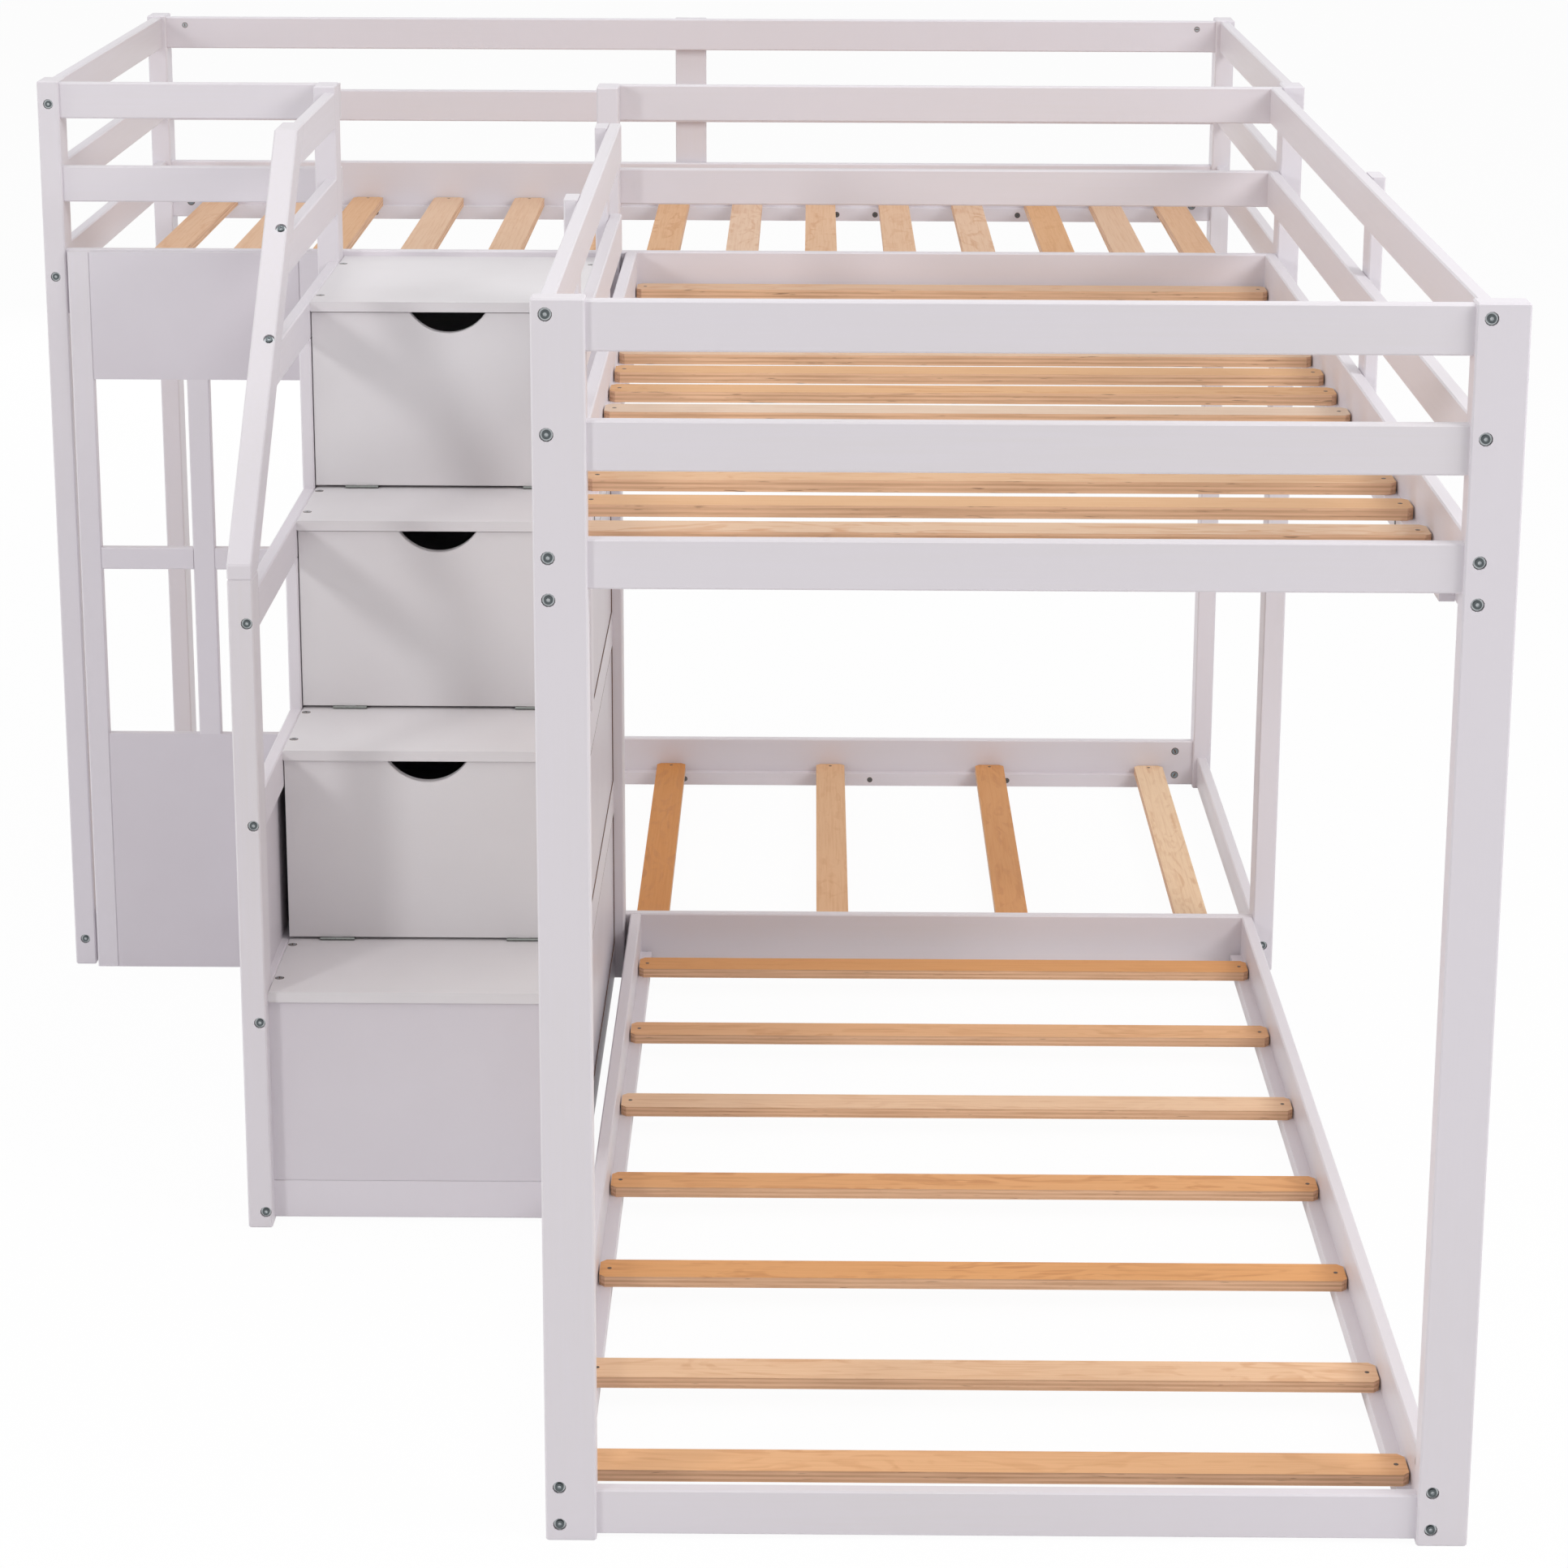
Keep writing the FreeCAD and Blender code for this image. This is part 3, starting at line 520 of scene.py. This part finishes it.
def makeScrewTree():
    # a flat head with a cross of two slots, or nearly one slot where Cross Share is small
    sizes = ["Head Radius", "Proud", "Slot Width", "Slot Depth", "Cross Share"]
    tree, given = startTree("screwHeads", sizes, ["Steel"])
    thick = addNode(tree, "ShaderNodeMath", {0: given["Proud"], 1: given["Slot Depth"]}, operation="ADD")
    head = addNode(tree, "GeometryNodeMeshCylinder", {
        "Vertices": steelForms["screwSides"], "Radius": given["Head Radius"],
        "Depth": thick.outputs["Value"]})
    half = addNode(tree, "ShaderNodeMath", {
        0: thick.outputs["Value"], 1: -0.5, 2: given["Proud"]}, operation="MULTIPLY_ADD")
    placed = liftedBy(tree, head.outputs["Mesh"], half.outputs["Value"])
    reach = addNode(tree, "ShaderNodeMath", {
        0: given["Head Radius"], 1: steelForms["slotReach"]}, operation="MULTIPLY")
    cross = addNode(tree, "ShaderNodeMath", {
        0: reach.outputs["Value"], 1: given["Cross Share"]}, operation="MULTIPLY")
    cut = addNode(tree, "GeometryNodeMeshBoolean", {"Mesh 1": placed},
                  operation="DIFFERENCE", solver="MANIFOLD")
    bars = ((reach.outputs["Value"], given["Slot Width"]), (given["Slot Width"], cross.outputs["Value"]))
    for (x, y), depth in zip(bars, steelForms["slotDepths"]):
        deep = addNode(tree, "ShaderNodeMath", {0: given["Slot Depth"], 1: depth}, operation="MULTIPLY")
        size = addNode(tree, "ShaderNodeCombineXYZ", {"X": x, "Y": y, "Z": deep.outputs["Value"]})
        bar = addNode(tree, "GeometryNodeMeshCube", {"Size": size.outputs["Vector"]})
        tree.links.new(liftedBy(tree, bar.outputs["Mesh"], given["Proud"]), cut.inputs["Mesh 2"])
    done = addNode(tree, "GeometryNodeSetMaterial", {
        "Geometry": cut.outputs["Mesh"], "Material": given["Steel"]})
    onEachSpot(tree, given, done.outputs["Geometry"], steelForms["screwSeed"])
    return tree


def makeHoleTree():
    # a thin dark brown disc round a head, which reads as the rim of its drilled hole, with the hole's shade
    # painted in
    tree, given = startTree("drilledHoles", ["Hole Radius", "Proud"], ["Lining"])
    disc = addNode(tree, "GeometryNodeMeshCylinder", {
        "Vertices": steelForms["holeSides"], "Radius": given["Hole Radius"], "Depth": given["Proud"]})
    done = addNode(tree, "GeometryNodeSetMaterial", {
        "Geometry": disc.outputs["Mesh"], "Material": given["Lining"]})
    onEachSpot(tree, given, done.outputs["Geometry"], steelForms["holeSeed"])
    return tree


def placeAtSpots(name, tree, spots, values, body):
    mesh = bpy.data.meshes.new(name)
    mesh.from_pydata([spot for spot, facing in spots], [], [])
    outward = mesh.attributes.new("facing", "FLOAT_VECTOR", "POINT")
    for i, (spot, facing) in enumerate(spots):
        outward.data[i].vector = facing
    piece = bpy.data.objects.new(name, mesh)
    bpy.context.scene.collection.objects.link(piece)
    modifier = piece.modifiers.new(name, "NODES")
    modifier.node_group = tree
    for socket in tree.interface.items_tree:
        if socket.in_out == "INPUT" and socket.name in values:
            modifier[socket.identifier] = values[socket.name]
    ready = piece.evaluated_get(bpy.context.evaluated_depsgraph_get())
    plain = bpy.data.meshes.new_from_object(ready)
    piece.modifiers.clear()
    piece.data = plain
    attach(piece, body)
    print(name, len(spots), "places,", len(plain.polygons), "faces")
    return piece


boltTree = makeBoltTree()
screwTree = makeScrewTree()
holeTree = makeHoleTree()
up, down = Vector((0, 0, 1)), Vector((0, 0, -1))
forward, rearward = Vector((0, -1, 0)), Vector((0, 1, 0))
leftward, rightward = Vector((-1, 0, 0)), Vector((1, 0, 0))

# frame bolts: a bright flange deep in its seat, and a head darkened as a painted dim reflection, which
# shows the socket in bright zinc as a painted highlight
frameBolts = {
    "Seat Depth": 4 * mm, "Flange Radius": 7 * mm, "Flange Height": 2.6 * mm,
    "Head Radius": 5.4 * mm, "Top Radius": 5.0 * mm, "Head Height": 5.2 * mm,
    "Socket Radius": 2.5 * mm, "Socket Depth": 2 * mm, "Shank Radius": 3 * mm, "Shank Length": 50 * mm,
    "Flange": boltZinc, "Head": paintedShadeSteel, "Socket": boltZinc,
}
# the seat rims are dark with painted shade, which outlines each flange
seatRims = {"Hole Radius": 7.7 * mm, "Proud": 0.2 * mm, "Lining": shadedBareWood}
widestShare = 0.9    # points this near the greatest width belong to a bolt's head
boltSpots = []
for points in solidPoints("frame_bolts"):
    middle = points.mean(axis=0)
    axis = np.linalg.svd(points - middle)[2][0]
    reach = (points - middle) @ axis
    spread = np.linalg.norm(points - middle - np.outer(reach, axis), axis=1)
    if reach[spread > spread.max() * widestShare].mean() < 0:
        axis, reach = -axis, -reach
    core = middle + np.outer(reach, axis).mean(axis=0)
    boltSpots.append((Vector(core + axis * reach.max()), Vector(axis)))
bolts = placeAtSpots("sunkBoltHeads", boltTree, boltSpots, frameBolts, "bed")
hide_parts("frame_bolts")
seatSpots = [(spot - way * frameBolts["Seat Depth"], way) for spot, way in boltSpots]
placeAtSpots("boltSeatRims", holeTree, seatSpots, seatRims, "bed")

# bolts in the back bed's long rails, seen on its outer end faces, and in its rear posts, seen from behind
flushBolts = dict(frameBolts)
flushBolts["Seat Depth"] = 0.0
flushBolts["Flange Height"] = 0.5 * mm
flushBolts["Head Height"] = 1.1 * mm
flushBolts["Socket Depth"] = 0.6 * mm
flushBolts["Shank Length"] = 6 * mm
flushHoles = {"Hole Radius": 8 * mm, "Proud": 0.3 * mm, "Lining": shadedBareWood}
boltPlaces = {
    "guardRise": 14 * mm,        # above the middle of a guard rail
    "pairSpread": 24 * mm,       # above and below the middle of a deep rail
    "deepRail": 80 * mm,         # a rail this deep takes two bolts
    "endReach": 100 * mm,        # a rail that ends this near the bed's end face is bolted there
    "samePlace": 1 * mm,
    "facesFront": 0.99,
}


def boltHeights(lowest, highest):
    middle = (lowest.z + highest.z) / 2
    if highest.z - lowest.z < boltPlaces["deepRail"]:
        return [middle + boltPlaces["guardRise"]]
    return [middle + boltPlaces["pairSpread"], middle - boltPlaces["pairSpread"]]


flushSpots = []
backLow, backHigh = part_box("back_rear_left_post")[0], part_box("back_rear_right_post")[1]
rearRails = ["back_rear_guard_rails", "back_rear_deck_rail", "back_rear_floor_rail"]
frontRails = ["back_front_deck_rail", "back_front_floor_rail", "entry_guard_rails", "junction_guard_rails"]
for nodeName in rearRails + frontRails:
    for points in solidPoints(nodeName):
        lowest, highest = low(points), high(points)
        y = (lowest.y + highest.y) / 2
        for z in boltHeights(lowest, highest):
            if lowest.x - backLow.x < boltPlaces["endReach"]:
                flushSpots.append((Vector((backLow.x, y, z)), leftward))
            if backHigh.x - highest.x < boltPlaces["endReach"]:
                flushSpots.append((Vector((backHigh.x, y, z)), rightward))
frontBolts = [spot for spot, way in boltSpots if way.dot(forward) > boltPlaces["facesFront"]]
for side in ("left", "right"):
    postLow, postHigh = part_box("back_rear_" + side + "_post")
    x = (postLow.x + postHigh.x) / 2
    for spot in frontBolts:
        if abs(spot.x - x) < boltPlaces["samePlace"]:
            flushSpots.append((Vector((x, postHigh.y, spot.z)), rearward))
placeAtSpots("flushBoltHoles", holeTree, flushSpots, flushHoles, "bed")
placeAtSpots("flushBoltHeads", boltTree, flushSpots, flushBolts, "bed")

# tread screws: two along each end of a tread, driven into the carcass sides, each in a drilled hole
treadScrews = {
    "Head Radius": 5.4 * mm, "Proud": 0.6 * mm, "Slot Width": 1.4 * mm, "Slot Depth": 1.0 * mm,
    "Cross Share": 1.0, "Steel": boltZinc,
}
treadHoles = {"Hole Radius": 6.4 * mm, "Proud": 0.3 * mm, "Lining": shadedBareWood}
treadPlaces = {"fromEdge": 9 * mm, "behindNose": 58 * mm, "beforeFlap": 22 * mm, "topFromBack": 75 * mm}
flapAbove = dict(zip(treads[1:], flaps))
treadSpots = []
for tread in treads:
    lowest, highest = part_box(tread)
    rear = highest.y - treadPlaces["topFromBack"]
    if tread in flapAbove:
        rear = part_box(flapAbove[tread])[0].y - treadPlaces["beforeFlap"]
    for x in (lowest.x + treadPlaces["fromEdge"], highest.x - treadPlaces["fromEdge"]):
        for y in (lowest.y + treadPlaces["behindNose"], rear):
            treadSpots.append((Vector((x, y, highest.z)), up))
placeAtSpots("treadScrewHoles", holeTree, treadSpots, treadHoles, "bed")
placeAtSpots("treadScrewHeads", screwTree, treadSpots, treadScrews, "bed")

# slat screws: one in each end of a slat, in a drilled hole
slatScrews = {
    "Head Radius": 2.2 * mm, "Proud": 0.25 * mm, "Slot Width": 0.7 * mm, "Slot Depth": 0.7 * mm,
    "Cross Share": 1.0, "Steel": paintedShadeSteel,
}
slatHoles = {"Hole Radius": 3.0 * mm, "Proud": 0.3 * mm, "Lining": shadedBareWood}
slatHoleInset = 13 * mm
slatSpots = []
for nodeName in slatRows:
    for points in solidPoints(nodeName):
        lowest, highest = low(points), high(points)
        along = longAxis(lowest, highest)
        for end in (lowest[along] + slatHoleInset, highest[along] - slatHoleInset):
            spot = (lowest + highest) / 2
            spot[along] = end
            spot.z = highest.z
            slatSpots.append((spot, up))
placeAtSpots("slatScrewHoles", holeTree, slatSpots, slatHoles, "bed")
placeAtSpots("slatScrewHeads", screwTree, slatSpots, slatScrews, "bed")

# barrel nuts: slotted ends that show on the inner face of each bolted rail, small ones in the guards
deckNuts = {
    "Head Radius": 6 * mm, "Proud": 0.5 * mm, "Slot Width": 2.2 * mm, "Slot Depth": 1.4 * mm,
    "Cross Share": 0.1, "Steel": shadedZinc,
}
deckNutHoles = {"Hole Radius": 7.2 * mm, "Proud": 0.3 * mm, "Lining": shadedBareWood}
guardNuts = dict(deckNuts)
guardNuts["Head Radius"] = 4.4 * mm
guardNuts["Slot Width"] = 1.2 * mm
guardNuts["Steel"] = boltZinc
guardNutHoles = {"Hole Radius": 5.2 * mm, "Proud": 0.3 * mm, "Lining": shadedBareWood}
nutInset = 35 * mm
guardNutSpots = []
deckNutSpots = []


def addNuts(x, y, heights, way):
    kind = guardNutSpots if len(heights) == 1 else deckNutSpots
    kind.extend((Vector((x, y, z)), way) for z in heights)


for nodeName in rearRails:
    for points in solidPoints(nodeName):
        lowest, highest = low(points), high(points)
        for x in (lowest.x + nutInset, highest.x - nutInset):
            addNuts(x, lowest.y, boltHeights(lowest, highest), forward)
wingLow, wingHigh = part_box("wing_deck_slats")
wingMiddle = (wingLow.x + wingHigh.x) / 2
for rails in ("left_guard", "right_guard", "deck_side", "floor_side"):
    nodeName = "wing_" + rails + "_rails"
    for points in solidPoints(nodeName):
        lowest, highest = low(points), high(points)
        x, way = (highest.x, rightward) if highest.x < wingMiddle else (lowest.x, leftward)
        addNuts(x, lowest.y + nutInset, boltHeights(lowest, highest), way)
placeAtSpots("guardNutHoles", holeTree, guardNutSpots, guardNutHoles, "bed")
placeAtSpots("guardNutEnds", screwTree, guardNutSpots, guardNuts, "bed")
placeAtSpots("deckNutHoles", holeTree, deckNutSpots, deckNutHoles, "bed")
placeAtSpots("deckNutEnds", screwTree, deckNutSpots, deckNuts, "bed")

# cleat screws: through the cleats into the rails, at both ends of each length and between
cleatScrews = {
    "Head Radius": 4.0 * mm, "Proud": 0.5 * mm, "Slot Width": 1.0 * mm, "Slot Depth": 1.0 * mm,
    "Cross Share": 1.0, "Steel": paintedShadeSteel,
}
cleatHoles = {"Hole Radius": 5.2 * mm, "Proud": 0.3 * mm, "Lining": shadedBareWood}
cleatScrewInset = 36 * mm
cleatScrewPitch = 280 * mm
cleatSpots = []
for nodeName in ("back_cleats", "wing_cleats"):
    nodeLow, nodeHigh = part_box(nodeName)
    for points in solidPoints(nodeName):
        lowest, highest = low(points), high(points)
        along = longAxis(lowest, highest)
        across = 1 - along
        atHigh = lowest[across] > (nodeLow[across] + nodeHigh[across]) / 2
        way = Vector((0, 0, 0))
        way[across] = -1 if atHigh else 1
        # two lengths that meet end to end come as one solid, with corners where they meet
        ends = sorted(set(points[:, along].round(4)))
        for start, stop in zip(ends, ends[1:]):
            first, last = start + cleatScrewInset, stop - cleatScrewInset
            steps = max(1, round((last - first) / cleatScrewPitch))
            for i in range(steps + 1):
                spot = (lowest + highest) / 2
                spot[along] = first + (last - first) * i / steps
                spot[across] = lowest[across] if atHigh else highest[across]
                cleatSpots.append((spot, way))
placeAtSpots("cleatScrewHoles", holeTree, cleatSpots, cleatHoles, "bed")
placeAtSpots("cleatScrewHeads", screwTree, cleatSpots, cleatScrews, "bed")

# open joints: dark lines round the stair sides' infill panels, which sit back from the rails
panelJoints = {"wide": 0.8 * mm, "deep": 1.3 * mm}


def addJointRing(work, points, outward):
    # a closed ring along the four edges of a panel's outer face
    lowest, highest = low(points), high(points)
    face = highest.x if outward.x > 0 else lowest.x
    rings = []
    for x in (face, face + outward.x * panelJoints["deep"]):
        for inset in (0, panelJoints["wide"]):
            y = (lowest.y + inset, highest.y - inset)
            z = (lowest.z + inset, highest.z - inset)
            corners = ((y[0], z[0]), (y[1], z[0]), (y[1], z[1]), (y[0], z[1]))
            rings.append([work.verts.new((x, *corner)) for corner in corners])
    for first, second in ((0, 1), (1, 3), (3, 2), (2, 0)):
        for i in range(4):
            pair = (i, (i + 1) % 4)
            work.faces.new([rings[first][k] for k in pair] + [rings[second][k] for k in reversed(pair)])


def placeJoints(name, nodeName, outward):
    work = bmesh.new()
    for points in solidPoints(nodeName):
        addJointRing(work, points, outward)
    bmesh.ops.recalc_face_normals(work, faces=work.faces)
    mesh = bpy.data.meshes.new(name)
    work.to_mesh(mesh)
    work.free()
    mesh.materials.append(shadedBareWood)
    piece = bpy.data.objects.new(name, mesh)
    bpy.context.scene.collection.objects.link(piece)
    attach(piece, "bed")
    print(name, len(mesh.polygons), "faces")


placeJoints("stairRightJoints", "stair_right_panels", rightward)
placeJoints("stairLeftJoints", "stair_left_panels", leftward)

# hinge screws: three in each leaf
hingeScrews = {
    "Head Radius": 1.9 * mm, "Proud": 0.15 * mm, "Slot Width": 0.5 * mm, "Slot Depth": 0.4 * mm,
    "Cross Share": 1.0, "Steel": shadedZinc,
}
leafPlaces = {"shares": (0.16, 0.5, 0.84), "fromEdge": 4.6 * mm, "leafThick": 1.2 * mm}


def leafSpots(nodeName, way):
    spots = []
    for points in solidPoints(nodeName):
        lowest, highest = low(points), high(points)
        y = highest.y - leafPlaces["fromEdge"]
        z = lowest.z + leafPlaces["leafThick"] if way.z > 0 else highest.z - leafPlaces["leafThick"]
        for share in leafPlaces["shares"]:
            spots.append((Vector((lowest.x + (highest.x - lowest.x) * share, y, z)), way))
    return spots


placeAtSpots("fixedLeafScrews", screwTree, leafSpots("fixed_hinge_leaves", up), hingeScrews, "bed")
for flap in flaps:
    spots = leafSpots(flap + "_leaves", down)
    placeAtSpots(flap + "LeafScrews", screwTree, spots, hingeScrews, flap)

# plain pale floor, which shows white and keeps a soft shadow, under a white sky and soft lights
studio = {
    "floorSize": 60.0,
    "floorColour": "#F2F1F2",
    "whiteShare": 0.96,
    "skyStrength": 0.41,
    "aim": (0.0, 0.0, 0.6),
    "keyPlace": (-2.75, -4.0, 2.7), "keySize": 0.6, "keyWatts": 39.0,
    "sidePlace": (-6.5, -0.6, 2.6), "sideSize": 3.5, "sideWatts": 84.0,
    "fillPlace": (4.0, -3.0, 4.2), "fillSize": 2.5, "fillWatts": 140.0,
    "topPlace": (0.2, 0.4, 9.0), "topSize": 8.0, "topWatts": 250.0,
    "rearPlace": (-0.6, 6.8, 1.2), "rearSize": 2.2, "rearWatts": 80.0,
}
white = (1.0, 1.0, 1.0, 1.0)


def seenDirectly(tree):
    # 1 for camera, mirror and glass rays
    path = addNode(tree, "ShaderNodeLightPath")
    either = addNode(tree, "ShaderNodeMath", {
        0: path.outputs["Is Camera Ray"], 1: path.outputs["Is Glossy Ray"]}, operation="MAXIMUM")
    return addNode(tree, "ShaderNodeMath", {
        0: either.outputs["Value"], 1: path.outputs["Is Transmission Ray"]}, operation="MAXIMUM")


scene = bpy.context.scene
half = studio["floorSize"] / 2
corners = [(-half, -half, 0), (half, -half, 0), (half, half, 0), (-half, half, 0)]
floorMesh = bpy.data.meshes.new("paleFloor")
floorMesh.from_pydata(corners, [], [(0, 1, 2, 3)])
floor = bpy.data.objects.new("paleFloor", floorMesh)
scene.collection.objects.link(floor)
floorPaper, floorTree = newMaterial("palePaper")    # matt paper: soft shadows and no shine
matt = addNode(floorTree, "ShaderNodeBsdfDiffuse", {"Color": toLinear(studio["floorColour"])})
glow = addNode(floorTree, "ShaderNodeEmission", {"Color": white, "Strength": 1.0})
share = addNode(floorTree, "ShaderNodeMath", {
    0: seenDirectly(floorTree).outputs["Value"], 1: studio["whiteShare"]}, operation="MULTIPLY")
mixed = addNode(floorTree, "ShaderNodeMixShader", {
    0: share.outputs["Value"], 1: matt.outputs["BSDF"], 2: glow.outputs["Emission"]})
addNode(floorTree, "ShaderNodeOutputMaterial", {"Surface": mixed.outputs["Shader"]})
floorMesh.materials.append(floorPaper)

world = bpy.data.worlds.new("studioSky")
world.use_nodes = True
skyTree = world.node_tree
skyTree.nodes.clear()
seen = seenDirectly(skyTree)
strength = addNode(skyTree, "ShaderNodeMapRange", {
    "Value": seen.outputs["Value"], "To Min": studio["skyStrength"], "To Max": 1.0})
sky = addNode(skyTree, "ShaderNodeBackground", {"Color": white, "Strength": strength.outputs["Result"]})
addNode(skyTree, "ShaderNodeOutputWorld", {"Surface": sky.outputs["Background"]})
scene.world = world


def addSoftLight(name, place, size, watts):
    data = bpy.data.lights.new(name, "AREA")
    data.size = size
    data.energy = watts
    lamp = bpy.data.objects.new(name, data)
    lamp.location = place
    lamp.rotation_euler = (Vector(studio["aim"]) - Vector(place)).to_track_quat("-Z", "Y").to_euler()
    scene.collection.objects.link(lamp)
    return lamp


for name in ("key", "side", "fill", "top", "rear"):
    place, size, watts = studio[name + "Place"], studio[name + "Size"], studio[name + "Watts"]
    lamp = addSoftLight(name + "Light", place, size, watts)
    # the rear light stays out of reflections, where it would glare on the treads and slats
    lamp.visible_glossy = name != "rear"

# camera: stands in front of the wing, a little right of the middle, and looks slightly down
shot = {
    "place": (0.22583, -5.58541, 2.20411),
    "turnDeg": 0.370, "tiltDeg": 14.379, "rollDeg": 0.208,
    "sensorMm": 36.0, "focalPixels": 4655.5, "imagePixels": 1932, "shiftX": -0.0009, "shiftY": -0.1237,
}
cameraData = bpy.data.cameras.new("camera")
cameraData.sensor_width = shot["sensorMm"]
cameraData.lens = shot["focalPixels"] / shot["imagePixels"] * shot["sensorMm"]
cameraData.shift_x = shot["shiftX"]
cameraData.shift_y = shot["shiftY"]
camera = bpy.data.objects.new("camera", cameraData)
turn = Matrix.Rotation(math.radians(shot["turnDeg"]), 4, "Z")
tilt = Matrix.Rotation(math.radians(90 - shot["tiltDeg"]), 4, "X")
roll = Matrix.Rotation(math.radians(shot["rollDeg"]), 4, "Z")
camera.matrix_world = Matrix.Translation(shot["place"]) @ turn @ tilt @ roll
scene.collection.objects.link(camera)
scene.camera = camera
scene.view_settings.view_transform = "Standard"
print("floor, lights and camera set")

bpy.context.view_layer.update()
